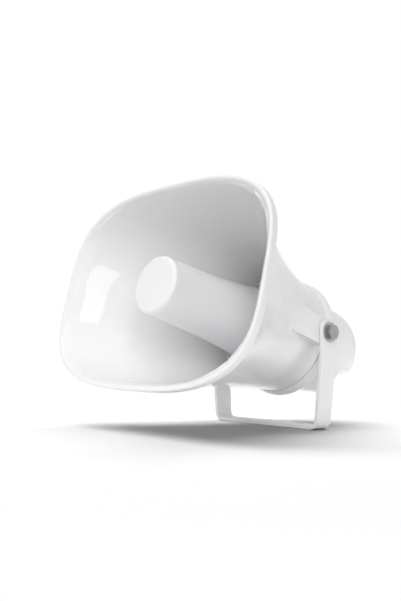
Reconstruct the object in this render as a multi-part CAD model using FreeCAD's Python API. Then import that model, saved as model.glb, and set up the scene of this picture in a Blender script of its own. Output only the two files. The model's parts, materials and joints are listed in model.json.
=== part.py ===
import FreeCAD, Part
import math
import os

# A re-entrant horn loudspeaker that stands on, or is screwed down by, a U bracket.
# Millimetres and degrees. The row's origin is the centre of the bracket's base on its underside,
# +Z is up, the mouth looks towards -Y and the tilt axis runs along X.
#
# Pieces of the horn are drawn in the horn's own frame: reach s runs forwards along the tilt axis's
# normal from the tilt axis, rise v runs up from the horn's axis. place_horn() tilts and lifts them.

# Mouth and flare
mouth_width = 285.4
mouth_height = 202.3
mouth_across_power = 2.88
mouth_up_power = 3.47
mouth_reach = 172.5
neck_radius = 61.3
neck_reach = -10.0
width_growth = 1.7
height_growth = 1.15
power_growth = 1.1
wall = 3.0
lip_land = 6.0
lip_depth = 8.0
lip_round = 1.6
mouth_ease = 1.2
flare_stations = 8
ring_points = 36
solving_steps = 6

# Floor of the flare, where the sound turns forwards
floor_reach = -6.0
floor_thickness = 4.0
floor_round = 14.0

# Round body behind the neck
body_start_radius = 60.6
crease_reach = -16.0
crown_step = 1.4
crown_edge_round = 1.0
crown_reach = -24.5
crown_radius = 63.9
shoulder_round = 6.0
body_end_reach = -45.0
body_end_radius = 49.5

# Where the horn hangs in its bracket
axis_rise = 1.3
tilt_deg = 12.8
pivot_height = 97.8
boss_face = 74.25
boss_root = 50.0
boss_radius = 13.5
boss_tip_half = 10.6
boss_tip_reach = 62.0
insert_radius = 7.0
insert_length = 11.0
bolt_radius = 4.9
thread_clearance = 0.1

# Bracket
strap_width = 22.6
strap_thickness = 4.2
ear_gap = 0.15
ear_bend_drop = 22.0
ear_round_lift = 2.3
base_half_width = 71.6
base_bend_radius = 6.0
ear_bend_radius = 14.0
strap_edge_round = 0.8
ear_hole_clearance = 0.3
base_hole_radius = 4.5
slot_half_width = 3.5
slot_length = 18.0
slot_spacing = 76.0

# Pivot bolts
washer_radius = 9.9
washer_thickness = 1.6
washer_gap = 0.1
bolt_head_flats = 14.0
bolt_head_height = 4.6
bolt_head_chamfer = 0.7
bolt_end_gap = 0.8

# Centre bell, a cup with a closed front
bell_wall = 2.2
bell_front_reach = 169.0
bell_front_radius = 29.0
bell_front_thickness = 2.5
bell_edge_round = 3.6
bell_cone_slope = 0.024
bell_cone_end_reach = 130.0
bell_swell_radius = 716.0
bell_swell_end_reach = 48.0
bell_flare_radius = 63.0
bell_rim_reach = 26.0

# Throat horn: foot flange, tube and fins
tube_wall = 2.2
throat_radius = 8.0
tube_end_radius = 15.5
tube_end_reach = 152.0
foot_radius = 41.0
foot_thickness = 4.0
foot_fillet = 5.0
fin_count = 3
fin_thickness = 2.5
fin_start_reach = 70.0
fin_end_reach = 112.0

# Driver
gasket_thickness = 1.5
driver_front_radius = 43.0
driver_front_thickness = 11.0
chamber_radius = 29.0
chamber_depth = 4.5
chamber_slope = 1.8
plug_radius = 5.2
plug_tip_radius = 1.6
plug_length = 8.0
plug_web = 1.5
diaphragm_thickness = 0.5
dome_radius = 20.0
dome_height = 3.6
surround_height = 1.2
diaphragm_rim_radius = 31.0
diaphragm_seat_radius = 27.0
ring_thickness = 2.0
pole_plate_radius = 39.0
pole_plate_thickness = 6.0
gap_outer_radius = 22.0
pole_radius = 19.4
coil_wall = 1.2
coil_inner_radius = 20.0
coil_length = 9.0
magnet_radius = 40.0
magnet_bore_radius = 25.0
magnet_thickness = 13.0
yoke_thickness = 6.0
screw_circle_radius = 34.0
screw_radius = 2.0
screw_clearance = 0.3
screw_head_radius = 3.8
screw_head_height = 2.6
screw_count = 4
driver_screw_reach_into_plate = 5.0
tag_width = 5.0
tag_thickness = 0.6
tag_spacing = 18.0
tag_inner_radius = 37.5
tag_outer_radius = 43.6

# Transformer on the driver's back
core_width = 48.0
core_length = 40.0
core_stack = 16.0
core_limb = 8.0
coil_block_half_width = 15.5
coil_block_height = 32.0
bobbin_flange = 1.0
transformer_rise = 6.0
strap_sheet = 1.2
strap_sheet_width = 14.0
strap_foot_length = 12.0
strap_screw_x = 31.0
small_screw_radius = 1.5
small_head_radius = 2.8
small_head_height = 1.8
small_screw_length = 5.0
terminal_width = 20.0
terminal_height = 14.0
terminal_depth = 12.0
terminal_top_rise = -21.0
terminal_spacing = 10.0
terminal_funnel_radius = 2.6
terminal_funnel_depth = 3.0
lead_radius = 0.75
lead_bend = 5.0
lead_height = 41.2
lead_entry_reach_in_coil = 2.0

# Rear cover with its hood over the cable entry
seal_thickness = 1.2
seal_radius = 48.8
flange_radius = 50.8
flange_thickness = 3.8
flange_round = 1.0
pot_start_radius = 50.2
pot_radius = 49.7
cap_start_reach = -58.0
rear_reach = -106.0
cap_power = 4.0
cap_points = 9
cover_wall = 2.6
hood_ceiling_rise = -21.5
hood_wall_reach = -75.0
hood_corner_radius = 7.0
hood_edge_round = 2.0
spigot_length = 8.0
spigot_wall = 2.3
spigot_clearance = 0.3
lug_count = 3
lug_height = 2.1
lug_thickness = 2.8
lug_angle = 24.0
lug_clearance = 0.3
collar_thickness = 3.8

# Cable gland in the wall under the hood, closed by its blank seal
gland_rise = -38.7
gland_thread_radius = 6.0
gland_thread_length = 9.0
gland_flats = 15.0
gland_collar = 5.0
gland_clamp_radius = 5.6
gland_clamp_length = 7.0
gland_bore_radius = 4.2
gland_nut_length = 12.0
gland_nut_round = 4.0
gland_mouth_radius = 3.6
gland_gap = 0.15
gland_boss_radius = 9.0
gland_boss_depth = 5.5

# Worked out from the sizes above
flare_length = mouth_reach - neck_reach
floor_back = floor_reach - floor_thickness
gasket_back = floor_back - gasket_thickness
driver_front_back = gasket_back - driver_front_thickness
ring_back = driver_front_back - ring_thickness
pole_plate_back = ring_back - pole_plate_thickness
magnet_back = pole_plate_back - magnet_thickness
yoke_back = magnet_back - yoke_thickness
core_back = yoke_back - core_length
foot_front = floor_reach + foot_thickness
seal_back = body_end_reach - seal_thickness
flange_back = seal_back - flange_thickness
cap_depth = cap_start_reach - rear_reach
collar_front = body_end_reach + collar_thickness
collar_radius = body_end_radius - wall
spigot_radius = collar_radius - spigot_clearance
ear_inner = boss_face + ear_gap
ear_outer = ear_inner + strap_thickness
washer_face = ear_outer + washer_gap
head_face = washer_face + washer_thickness
bolt_end_x = boss_face - insert_length + bolt_end_gap
X_AXIS = FreeCAD.Vector(1, 0, 0)
Y_AXIS = FreeCAD.Vector(0, 1, 0)
Z_AXIS = FreeCAD.Vector(0, 0, 1)
ORIGIN = FreeCAD.Vector(0, 0, 0)


def at(x, s, v):
    """A point of the horn's own frame: x across, s forwards, v up from the horn's axis."""
    return FreeCAD.Vector(x, -s, v)


def round_corners(points, radii, closed=False):
    """Edges through the points, with a tangent arc of the given radius at each corner."""
    count = len(points)
    starts = []
    ends = []
    arcs = []
    for i in range(count):
        inner = closed or 0 < i < count - 1
        if not inner or radii[i] <= 0:
            starts.append(points[i])
            ends.append(points[i])
            arcs.append(None)
            continue
        before = (points[i] - points[i - 1]).normalize()
        after = (points[(i + 1) % count] - points[i]).normalize()
        half_turn = before.getAngle(after) / 2
        reach = radii[i] * math.tan(half_turn)
        bisector = (after - before).normalize()
        middle = points[i] + bisector * (radii[i] / math.cos(half_turn) - radii[i])
        start = points[i] - before * reach
        end = points[i] + after * reach
        starts.append(start)
        ends.append(end)
        arcs.append(Part.Arc(start, middle, end).toShape())
    edges = []
    for i in range(count if closed else count - 1):
        if arcs[i]:
            edges.append(arcs[i])
        edges.append(Part.LineSegment(ends[i], starts[(i + 1) % count]).toShape())
    return edges


def face_of(edges):
    return Part.Face(Part.Wire(edges))


def polygon_face(points):
    return Part.Face(Part.makePolygon(points + [points[0]]))


def turned(edges):
    """Solid of revolution about the horn's axis from a closed outline in the (s, radius) plane."""
    return face_of(edges).revolve(ORIGIN, Y_AXIS, 360)


def turned_polygon(pairs):
    points = [at(0, s, r) for s, r in pairs]
    return polygon_face(points).revolve(ORIGIN, Y_AXIS, 360)


def disc(s_front, s_back, radius, bore=0.0, x=0.0, v=0.0):
    """A plate or tube along the horn's axis direction, from its front face back to its rear face."""
    length = s_front - s_back
    solid = Part.makeCylinder(radius, length, at(x, s_front, v), Y_AXIS)
    if bore > 0:
        solid = solid.cut(Part.makeCylinder(bore, length, at(x, s_front, v), Y_AXIS))
    return solid


def block(x_range, s_range, v_range):
    """A box between two values of each of the horn frame's coordinates."""
    x_low, x_high = sorted(x_range)
    s_low, s_high = sorted(s_range)
    v_low, v_high = sorted(v_range)
    return Part.makeBox(x_high - x_low, s_high - s_low, v_high - v_low, at(x_low, s_high, v_low))


def hexagon(flats, s_front, s_back, x=0.0, v=0.0):
    """A hexagonal prism along the horn's axis direction."""
    corner = flats / math.sqrt(3)
    points = []
    for i in range(6):
        angle = math.radians(60 * i)
        points.append(at(x + corner * math.cos(angle), s_front, v + corner * math.sin(angle)))
    return polygon_face(points).extrude(Y_AXIS * (s_front - s_back))


def on_circle(radius, count, first_deg):
    """Points (x, v) evenly spaced on a circle about the horn's axis."""
    places = []
    for i in range(count):
        angle = math.radians(first_deg + 360.0 * i / count)
        places.append((radius * math.cos(angle), radius * math.sin(angle)))
    return places


def about_axis(shape, angle):
    """A copy turned about the horn's axis."""
    copy = shape.copy()
    copy.rotate(ORIGIN, Y_AXIS, angle)
    return copy


def mirrored(shape):
    return shape.mirror(ORIGIN, X_AXIS)


def place_horn(shape):
    """Moves a piece from the horn's own frame into the row's frame."""
    placed = shape.copy()
    placed.translate(FreeCAD.Vector(0, 0, axis_rise))
    placed.rotate(ORIGIN, X_AXIS, -tilt_deg)
    placed.translate(FreeCAD.Vector(0, 0, pivot_height))
    return placed


def squared_ring(half_width, half_height, across_power, up_power, s):
    """Closed outline |x/half_width|^across_power + |v/half_height|^up_power = 1, round where both are 2."""
    places = []
    for i in range(ring_points):
        angle = 2 * math.pi * i / ring_points
        c = abs(math.cos(angle))
        d = abs(math.sin(angle))
        k = 1.0
        for step in range(solving_steps):
            value = (k * c) ** across_power + (k * d) ** up_power - 1
            slope = (across_power * (k * c) ** across_power + up_power * (k * d) ** up_power) / k
            k = k - value / slope
        places.append(at(half_width * k * math.cos(angle), s, half_height * k * math.sin(angle)))
    curve = Part.BSplineCurve()
    curve.interpolate(Points=places, PeriodicFlag=True)
    return Part.Wire(curve.toShape())


def flare_outline(s, inset):
    """Half width, half height and the two powers of the flare's outline at reach s, drawn in by an inset."""
    t = max(0.0, (s - neck_reach) / flare_length)
    mouth_half_width = mouth_width / 2 - lip_land + wall
    mouth_half_height = mouth_height / 2 - lip_land + wall
    half_width = neck_radius + (mouth_half_width - neck_radius) * t ** width_growth
    half_height = neck_radius + (mouth_half_height - neck_radius) * t ** height_growth
    across_power = 2 + (mouth_across_power - 2) * t ** power_growth
    up_power = 2 + (mouth_up_power - 2) * t ** power_growth
    return half_width - inset, half_height - inset, across_power, up_power


def flare_loft(s_start, s_end, inset):
    rings = []
    for i in range(flare_stations):
        s = s_start + (s_end - s_start) * i / (flare_stations - 1)
        half_width, half_height, across_power, up_power = flare_outline(s, inset)
        rings.append(squared_ring(half_width, half_height, across_power, up_power, s))
    return Part.makeLoft(rings, True, False)


def mouth_lip():
    """The flange round the mouth, with rounded outer edges."""
    stations = []
    for angle in (0, 45, 90):
        swing = math.radians(angle)
        step = lip_round * math.sin(swing)
        stations.append((mouth_reach - lip_depth + lip_round - lip_round * math.cos(swing),
                         lip_round - step))
    for angle in (0, 30, 60, 90):
        swing = math.radians(angle)
        stations.append((mouth_reach - lip_round + lip_round * math.sin(swing),
                         lip_round * (1 - math.cos(swing))))
    rings = []
    for s, inset in stations:
        rings.append(squared_ring(mouth_width / 2 - inset, mouth_height / 2 - inset,
                                  mouth_across_power, mouth_up_power, s))
    return Part.makeLoft(rings, True, True)


def mouth_ease_cutter():
    """Rounds the inner edge of the lip."""
    rings = []
    half_width, half_height, across_power, up_power = flare_outline(mouth_reach, wall)
    for angle in (0, 30, 60, 90):
        swing = math.radians(angle)
        s = mouth_reach - mouth_ease + mouth_ease * math.sin(swing)
        grow = mouth_ease * (1 - math.cos(swing))
        rings.append(squared_ring(half_width + grow, half_height + grow, across_power, up_power, s))
    return Part.makeLoft(rings, True, True)


def shoulder_edges(inset, crown_start):
    """Rising crown, rounded shoulder and straight slope to the body's end, drawn in by an inset."""
    top = crown_radius - inset
    rise = top - crown_start.z
    run = -crown_start.y - crown_reach
    crown_sweep = (run ** 2 + rise ** 2) / (2 * rise)
    half_swing = math.asin(run / crown_sweep) / 2
    crown_middle = at(0, crown_reach + crown_sweep * math.sin(half_swing),
                      top - crown_sweep * (1 - math.cos(half_swing)))
    crown_end = at(0, crown_reach, top)
    bend = shoulder_round - inset
    end = at(0, body_end_reach, body_end_radius - inset)
    back = crown_reach - body_end_reach
    drop = top - bend - end.z
    lean = math.atan2(drop, back) + math.asin(bend / math.hypot(back, drop))
    places = []
    for swing in (lean / 2, lean):
        places.append(at(0, crown_reach - bend * math.sin(swing), top - bend + bend * math.cos(swing)))
    return [Part.Arc(crown_start, crown_middle, crown_end).toShape(),
            Part.Arc(crown_end, places[0], places[1]).toShape(),
            Part.LineSegment(places[1], end).toShape()]


def body_outer():
    """The round body: a plain neck, a crease, then the crowned band with its sloping shoulder."""
    start_axis = at(0, neck_reach + 1, 0)
    start = at(0, neck_reach + 1, body_start_radius)
    crease = at(0, crease_reach, body_start_radius)
    step = at(0, crease_reach, body_start_radius + crown_step)
    crown_start = at(0, crease_reach - crown_edge_round, body_start_radius + crown_step)
    end = at(0, body_end_reach, body_end_radius)
    end_axis = at(0, body_end_reach, 0)
    return turned([Part.LineSegment(start_axis, start).toShape(),
                   Part.LineSegment(start, crease).toShape(),
                   Part.LineSegment(crease, step).toShape(),
                   Part.LineSegment(step, crown_start).toShape()]
                  + shoulder_edges(0, crown_start)
                  + [Part.LineSegment(end, end_axis).toShape(),
                     Part.LineSegment(end_axis, start_axis).toShape()])


def body_cavity():
    """Room for the driver: behind the floor, and narrowed at the rear by the cover's collar."""
    start_axis = at(0, neck_reach + 1, 0)
    start = at(0, neck_reach + 1, body_start_radius - wall)
    end = at(0, body_end_reach, body_end_radius - wall)
    end_axis = at(0, body_end_reach, 0)
    hollow = turned([Part.LineSegment(start_axis, start).toShape()]
                    + shoulder_edges(wall, start)
                    + [Part.LineSegment(end, end_axis).toShape(),
                       Part.LineSegment(end_axis, start_axis).toShape()])
    behind_floor = disc(floor_back, collar_front, crown_radius + wall)
    through_collar = disc(collar_front + wall, body_end_reach - wall, collar_radius)
    return hollow.common(behind_floor).fuse(through_collar)


def floor_fillet_ring():
    """Turns the flare's wall into its floor with a round corner."""
    inner = neck_radius - wall - floor_round
    low = at(0, floor_reach, inner)
    swing = math.radians(45)
    middle = at(0, floor_reach + floor_round * (1 - math.cos(swing)), inner + floor_round * math.sin(swing))
    high = at(0, floor_reach + floor_round, inner + floor_round)
    outer_high = at(0, floor_reach + floor_round, neck_radius - wall / 2)
    outer_low = at(0, floor_reach - floor_thickness / 2, neck_radius - wall / 2)
    inner_low = at(0, floor_reach - floor_thickness / 2, inner)
    edges = [Part.Arc(low, middle, high).toShape(),
             Part.LineSegment(high, outer_high).toShape(),
             Part.LineSegment(outer_high, outer_low).toShape(),
             Part.LineSegment(outer_low, inner_low).toShape(),
             Part.LineSegment(inner_low, low).toShape()]
    return turned(edges)


def boss_block():
    """One pivot boss: round behind the bolt, drawn out forwards until it runs into the flare."""
    drop = -axis_rise
    length = boss_face - boss_root
    round_end = Part.makeCylinder(boss_radius, length, at(boss_root, 0, drop), X_AXIS)
    points = [at(boss_root, 0, drop + boss_radius),
              at(boss_root, boss_tip_reach, drop + boss_tip_half),
              at(boss_root, boss_tip_reach, drop - boss_tip_half),
              at(boss_root, 0, drop - boss_radius)]
    arm = polygon_face(points).extrude(X_AXIS * length)
    return round_end.fuse(arm)


def insert_bore():
    return Part.makeCylinder(insert_radius, insert_length, at(boss_face - insert_length, 0, -axis_rise), X_AXIS)


def screw_bores(s_front, s_back, radius):
    return [disc(s_front, s_back, radius, x=x, v=v)
            for x, v in on_circle(screw_circle_radius, screw_count, 45)]


def lug_slots():
    """Notches in the collar that let the cover's lugs in before it is turned."""
    depth = spigot_radius + lug_height + lug_clearance
    slot_angle = lug_angle + 6
    slots = []
    for i in range(lug_count):
        slot = sector(collar_radius - wall, depth, collar_front + wall, body_end_reach - wall, slot_angle)
        slots.append(about_axis(slot, 360.0 / lug_count * (i + 0.5)))
    return slots


def sector(inner, outer, s_front, s_back, angle):
    """Part of a ring about the horn's axis, centred on straight up."""
    profile = polygon_face([at(0, s_front, inner), at(0, s_front, outer),
                            at(0, s_back, outer), at(0, s_back, inner)])
    piece = profile.revolve(ORIGIN, Y_AXIS, angle)
    piece.rotate(ORIGIN, Y_AXIS, -angle / 2)
    return piece


def horn_flare():
    """The big moulding: lip, flare, floor, body, bosses and collar in one."""
    boss = boss_block()
    shell = flare_loft(neck_reach - 2, mouth_reach - lip_round, 0)
    shell = shell.fuse([mouth_lip(), body_outer(), boss, mirrored(boss)])
    shell = shell.cut(flare_loft(floor_reach, mouth_reach, wall))
    shell = shell.cut(mouth_ease_cutter())
    shell = shell.cut(body_cavity())
    shell = shell.fuse(floor_fillet_ring())
    cutters = [disc(floor_reach + wall, floor_back - wall, throat_radius + tube_wall)]
    cutters += screw_bores(floor_reach + 1, floor_back - 1, screw_radius + screw_clearance)
    cutters += [insert_bore(), mirrored(insert_bore())]
    cutters += lug_slots()
    return shell.cut(cutters).removeSplitter()


def widening_arc(start, first, radius, end_reach):
    """An arc that leaves a point at a given slope and curls outwards, its last point and last slope."""
    reach = -start.y
    last = math.asin(math.sin(first) + (reach - end_reach) / radius)
    places = []
    for angle in ((first + last) / 2, last):
        places.append(at(0, reach - radius * (math.sin(angle) - math.sin(first)),
                         start.z + radius * (math.cos(first) - math.cos(angle))))
    return Part.Arc(start, places[0], places[1]).toShape(), places[1], last


def bell_outer_edges(inset):
    """The bell's outline from its front edge to its rim: near straight, then swelling, then flared."""
    cone_run = bell_front_reach - bell_cone_end_reach
    start = at(0, bell_front_reach, bell_front_radius - inset)
    cone_end = at(0, bell_cone_end_reach, bell_front_radius + bell_cone_slope * cone_run - inset)
    cone = Part.LineSegment(start, cone_end).toShape()
    slope = math.atan(bell_cone_slope)
    swell, swell_end, slope = widening_arc(cone_end, slope, bell_swell_radius + inset, bell_swell_end_reach)
    flare, rim, slope = widening_arc(swell_end, slope, bell_flare_radius + inset, bell_rim_reach)
    return [cone, swell, flare], start, rim


def bell_body(inset, front_reach):
    """The bell's volume inside its outline, from the rim to a front face."""
    edges, start, rim = bell_outer_edges(inset)
    axis_front = at(0, bell_front_reach, 0)
    axis_back = at(0, bell_rim_reach, 0)
    edges = edges + [Part.LineSegment(rim, axis_back).toShape(),
                     Part.LineSegment(axis_back, axis_front).toShape(),
                     Part.LineSegment(axis_front, start).toShape()]
    body = turned(edges)
    keep = disc(front_reach, bell_rim_reach, mouth_width)
    return body.common(keep)


def centre_bell():
    outer = bell_body(0, bell_front_reach)
    front_edges = [edge for edge in outer.Edges
                   if abs(edge.BoundBox.YMin + bell_front_reach) < 0.01
                   and abs(edge.BoundBox.YMax + bell_front_reach) < 0.01]
    outer = outer.makeFillet(bell_edge_round, front_edges)
    return outer.cut(bell_body(bell_wall, bell_front_reach - bell_front_thickness))


def tube_radius(s):
    """Bore of the throat horn, which widens steadily from the throat to its open end."""
    share = (s - floor_back) / (tube_end_reach - floor_back)
    return throat_radius + (tube_end_radius - throat_radius) * max(0.0, share)


def throat_horn():
    """Foot flange, widening tube and fins that carry the bell."""
    outline = [at(0, floor_back, 0),
               at(0, floor_back, throat_radius + tube_wall - thread_clearance),
               at(0, floor_reach, throat_radius + tube_wall - thread_clearance),
               at(0, floor_reach, foot_radius),
               at(0, foot_front, foot_radius),
               at(0, foot_front, tube_radius(foot_front) + tube_wall),
               at(0, tube_end_reach, tube_end_radius + tube_wall),
               at(0, tube_end_reach, 0)]
    radii = [0, 0, 0, 0, 0, foot_fillet, 0, 0]
    body = turned(round_corners(outline, radii, closed=True))
    body = body.fuse(throat_fins())
    bore = turned_polygon([(floor_back, 0), (floor_back, throat_radius),
                           (tube_end_reach, tube_end_radius), (tube_end_reach, 0)])
    return body.cut([bore] + screw_bores(foot_front + 1, floor_back - 1, screw_radius + screw_clearance))


def throat_fins():
    """Fins on the tube whose outer edges lie on the bell's inner wall."""
    fin = block((-fin_thickness / 2, fin_thickness / 2), (fin_start_reach, fin_end_reach),
                (tube_radius(fin_start_reach), 2 * bell_front_radius))
    fins = [about_axis(fin, 360.0 / fin_count * i) for i in range(fin_count)]
    inside_bell = bell_body(bell_wall, bell_front_reach - bell_front_thickness)
    return [piece.common(inside_bell) for piece in fins]


def throat_gasket():
    ring = disc(floor_back, gasket_back, foot_radius, throat_radius + tube_wall)
    return ring.cut(screw_bores(floor_back + 1, gasket_back - 1, screw_radius + screw_clearance))


def driver_front():
    """Cast plate with the throat and the compression chamber."""
    plate = disc(gasket_back, driver_front_back, driver_front_radius)
    chamber_front = driver_front_back + chamber_depth
    chamber = turned_polygon([(driver_front_back, 0), (driver_front_back, chamber_radius),
                              (driver_front_back + surround_height * 2, chamber_radius),
                              (chamber_front, dome_radius + chamber_slope),
                              (chamber_front + chamber_slope, throat_radius),
                              (gasket_back, throat_radius), (gasket_back, 0)])
    return plate.cut([chamber] + screw_bores(gasket_back + 1, driver_front_back - 1,
                                             screw_radius + screw_clearance))


def phase_plug():
    """Bullet in the throat, held by three webs."""
    base = driver_front_back + chamber_depth + chamber_slope
    tip = base + plug_length
    outline = [at(0, base, 0), at(0, base, plug_radius), at(0, tip, plug_tip_radius), at(0, tip, 0)]
    bullet = turned(round_corners(outline, [0, 0, plug_tip_radius / 2, 0], closed=True))
    web = block((-plug_web / 2, plug_web / 2), (base, base + plug_length / 3), (plug_radius / 2, throat_radius))
    web = web.common(disc(base + plug_length, base, throat_radius))
    return bullet.fuse([about_axis(web, 120 * i) for i in range(3)])


def diaphragm():
    """Domed sheet with a flat rim that is clamped between driver front and ring."""
    outer_rise = dome_height + diaphragm_thickness
    outer_radius = (dome_radius ** 2 + outer_rise ** 2) / (2 * outer_rise)
    centre = at(0, driver_front_back + outer_rise - outer_radius, 0)
    cap = Part.makeSphere(outer_radius, centre).cut(
        Part.makeSphere(outer_radius - diaphragm_thickness, centre))
    rim_back = driver_front_back - diaphragm_thickness
    cap = cap.common(disc(driver_front_back + 2 * outer_rise, rim_back, dome_radius))
    rim = disc(driver_front_back, rim_back, diaphragm_rim_radius, dome_radius - diaphragm_thickness)
    return cap.fuse(rim)


def voice_coil():
    front = driver_front_back - diaphragm_thickness
    return disc(front, front - coil_length, coil_inner_radius + coil_wall, coil_inner_radius)


def diaphragm_ring():
    ring = disc(driver_front_back - diaphragm_thickness, ring_back, pole_plate_radius, diaphragm_seat_radius)
    lip = disc(driver_front_back, driver_front_back - diaphragm_thickness, pole_plate_radius,
               diaphragm_rim_radius + screw_clearance / 2)
    ring = ring.fuse(lip)
    return ring.cut(screw_bores(driver_front_back + 1, ring_back - 1, screw_radius + screw_clearance) + tag_slots())


def tag_box(side, grow=0.0):
    centre = side * tag_spacing / 2
    reach = (driver_front_back + ring_back - diaphragm_thickness) / 2
    return block((centre - tag_width / 2 - grow, centre + tag_width / 2 + grow),
                 (reach - tag_thickness / 2 - grow, reach + tag_thickness / 2 + grow),
                 (tag_inner_radius - 3 * grow, tag_outer_radius))


def tag_slots():
    return [tag_box(-1), tag_box(1)]


def driver_terminals():
    """Two flat tags in the ring, where the coil's ends are joined to the leads."""
    return Part.makeCompound([tag_box(-1), tag_box(1)])


def pole_plate():
    plate = disc(ring_back, pole_plate_back, pole_plate_radius, gap_outer_radius)
    return plate.cut(screw_bores(ring_back + 1, pole_plate_back - 1, screw_radius))


def magnet():
    return disc(pole_plate_back, magnet_back, magnet_radius, magnet_bore_radius)


def yoke():
    """Back plate and centre pole in one turned piece."""
    plate = disc(magnet_back, yoke_back, pole_plate_radius)
    pole = disc(ring_back, magnet_back, pole_radius)
    bores = [disc(yoke_back + small_screw_length, yoke_back - 1, small_screw_radius, x=side * strap_screw_x,
                  v=transformer_rise) for side in (-1, 1)]
    return plate.fuse(pole).cut(bores)


def driver_screws():
    """Long screws from the throat horn's foot into the pole plate."""
    end = ring_back - driver_screw_reach_into_plate
    screws = []
    for x, v in on_circle(screw_circle_radius, screw_count, 45):
        head = disc(foot_front + screw_head_height, foot_front, screw_head_radius, x=x, v=v)
        shank = disc(foot_front, end, screw_radius, x=x, v=v)
        screws.append(head.fuse(shank))
    return Part.makeCompound(screws)


def transformer_core():
    """Laminated core with two windows beside its centre limb."""
    stack = block((-core_width / 2, core_width / 2), (yoke_back, core_back),
                  (transformer_rise - core_stack / 2, transformer_rise + core_stack / 2))
    windows = []
    for side in (-1, 1):
        windows.append(block((side * core_limb, side * (core_width / 2 - core_limb)),
                             (yoke_back - core_limb, core_back + core_limb),
                             (transformer_rise - core_stack, transformer_rise + core_stack)))
    return stack.cut(windows)


def coil_block(half_width, height, s_front, s_back):
    """A block round the centre limb, with the limb's opening cut out."""
    outer = block((-half_width, half_width), (s_front, s_back),
                  (transformer_rise - height / 2, transformer_rise + height / 2))
    limb = block((-core_limb, core_limb), (s_front + 1, s_back - 1),
                 (transformer_rise - core_stack / 2, transformer_rise + core_stack / 2))
    return outer.cut(limb)


def transformer_bobbin():
    """Two flanges and a sleeve on the centre limb."""
    front = yoke_back - core_limb
    back = core_back + core_limb
    sleeve = coil_block(core_limb + bobbin_flange, core_stack + 2 * bobbin_flange, front, back)
    near = coil_block(coil_block_half_width, coil_block_height, front, front - bobbin_flange)
    far = coil_block(coil_block_half_width, coil_block_height, back + bobbin_flange, back)
    return sleeve.fuse([near, far])


def transformer_winding():
    front = yoke_back - core_limb - bobbin_flange
    back = core_back + core_limb + bobbin_flange
    block_of_wire = coil_block(coil_block_half_width - bobbin_flange, coil_block_height - 2 * bobbin_flange,
                               front, back)
    sleeve = block((-core_limb - bobbin_flange, core_limb + bobbin_flange), (front + 1, back - 1),
                   (transformer_rise - core_stack / 2 - bobbin_flange,
                    transformer_rise + core_stack / 2 + bobbin_flange))
    return block_of_wire.cut(sleeve)


def transformer_strap():
    """Sheet strap over the core, with two feet on the driver's back."""
    side = core_width / 2
    foot_end = side + strap_foot_length
    outline = [at(-foot_end, yoke_back, 0), at(-side, yoke_back, 0), at(-side, core_back, 0),
               at(side, core_back, 0), at(side, yoke_back, 0), at(foot_end, yoke_back, 0),
               at(foot_end, yoke_back - strap_sheet, 0), at(side + strap_sheet, yoke_back - strap_sheet, 0),
               at(side + strap_sheet, core_back - strap_sheet, 0),
               at(-side - strap_sheet, core_back - strap_sheet, 0),
               at(-side - strap_sheet, yoke_back - strap_sheet, 0),
               at(-foot_end, yoke_back - strap_sheet, 0)]
    strap = polygon_face(outline).extrude(Z_AXIS * strap_sheet_width)
    strap.translate(FreeCAD.Vector(0, 0, transformer_rise - strap_sheet_width / 2))
    bores = [disc(yoke_back + 1, yoke_back - strap_sheet - 1, small_screw_radius + screw_clearance,
                  x=side_sign * strap_screw_x, v=transformer_rise) for side_sign in (-1, 1)]
    return strap.cut(bores)


def strap_screws():
    face = yoke_back - strap_sheet
    screws = []
    for side in (-1, 1):
        x = side * strap_screw_x
        head = disc(face, face - small_head_height, small_head_radius, x=x, v=transformer_rise)
        shank = disc(yoke_back + small_screw_length, face, small_screw_radius, x=x, v=transformer_rise)
        screws.append(head.fuse(shank))
    return Part.makeCompound(screws)


def terminal_places():
    reach = yoke_back - terminal_depth / 2
    return [(side * terminal_spacing / 2, reach) for side in (-1, 1)]


def terminal_block():
    """Two-way block on the driver's back, with a funnel over each clamp screw."""
    body = block((-terminal_width / 2, terminal_width / 2), (yoke_back, yoke_back - terminal_depth),
                 (terminal_top_rise - terminal_height, terminal_top_rise))
    funnels = []
    for x, reach in terminal_places():
        funnels.append(disc(yoke_back - terminal_depth + terminal_funnel_depth, yoke_back - terminal_depth,
                            terminal_funnel_radius, x=x, v=terminal_top_rise - terminal_height / 2))
    return body.cut(funnels)


def terminal_screws():
    screws = []
    front = yoke_back - terminal_depth + terminal_funnel_depth
    for x, reach in terminal_places():
        screws.append(disc(front, front - small_head_height, terminal_funnel_radius - 2 * thread_clearance,
                           x=x, v=terminal_top_rise - terminal_height / 2))
    return Part.makeCompound(screws)


def lead(points):
    """An insulated wire: straight runs joined by tangent arcs."""
    radii = [lead_bend] * len(points)
    path = Part.Wire(round_corners(points, radii))
    direction = (points[1] - points[0]).normalize()
    ring = Part.Wire(Part.makeCircle(lead_radius, points[0], direction))
    return path.makePipeShell([ring], True, True)


def driver_leads():
    """From the driver's tags back along the magnet and down to the winding."""
    start = (driver_front_back + ring_back - diaphragm_thickness) / 2 - tag_thickness / 2
    turn = yoke_back - core_limb - bobbin_flange - lead_entry_reach_in_coil
    top = transformer_rise + coil_block_height / 2 - bobbin_flange
    wires = []
    for side in (-1, 1):
        x = side * tag_spacing / 2
        wires.append(lead([at(x, start, lead_height), at(x, turn, lead_height), at(x, turn, top)]))
    return Part.makeCompound(wires)


def line_leads():
    """From the terminal block up to the winding."""
    reach = yoke_back - core_limb - bobbin_flange - lead_entry_reach_in_coil
    top = transformer_rise - coil_block_height / 2 + bobbin_flange
    wires = []
    for side in (-1, 1):
        x = side * terminal_spacing / 2
        wires.append(lead([at(x, reach, terminal_top_rise), at(x, reach, top)]))
    return Part.makeCompound(wires)


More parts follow.
